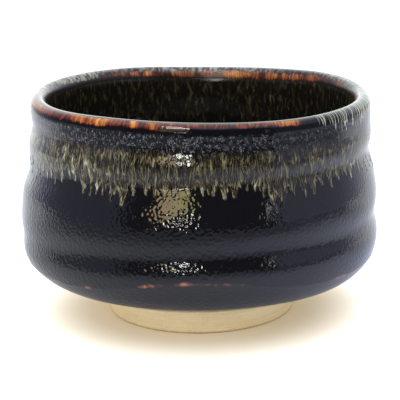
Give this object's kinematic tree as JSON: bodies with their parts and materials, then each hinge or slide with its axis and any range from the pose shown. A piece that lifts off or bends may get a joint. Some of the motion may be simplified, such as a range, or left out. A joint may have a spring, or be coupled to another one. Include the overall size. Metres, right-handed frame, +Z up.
{
  "type": "matcha bowl",
  "caption": "Wide, low hand-thrown tea bowl on a narrow bare clay foot ring, dark glazed inside and out, with a pale streaked overglaze below an amber lip.",
  "frame": {"origin": "middle of the bowl's outline, seen from above, on the table plane under the foot ring", "axes": "+Z up, through the bowl's mouth; -Y towards the front of the bowl; +X to the right seen from the front, the side that the bowl leans to"},
  "size_m": [0.1246, 0.1248, 0.0782],
  "materials": {
    "clay": "bare fired stoneware clay, matt, fine grained",
    "iron_glaze": "glossy blue-black iron glaze with a fine orange-peel surface",
    "liner_glaze": "glossy black iron glaze with faint green-grey streaks",
    "amber_film": "glossy, thin red-brown and amber where the glaze has run off the lip",
    "ash_glaze": "glossy pale grey-green ash overglaze, streaked and dripping over black"
  },
  "bodies": {
    "root": {"clay_body": "clay", "foot_ring": "clay", "inner_glaze": "liner_glaze", "lip_glaze": "amber_film", "outer_glaze": "iron_glaze", "ash_glaze_outside": "ash_glaze", "ash_glaze_inside": "ash_glaze"}
  },
  "joints": []
}
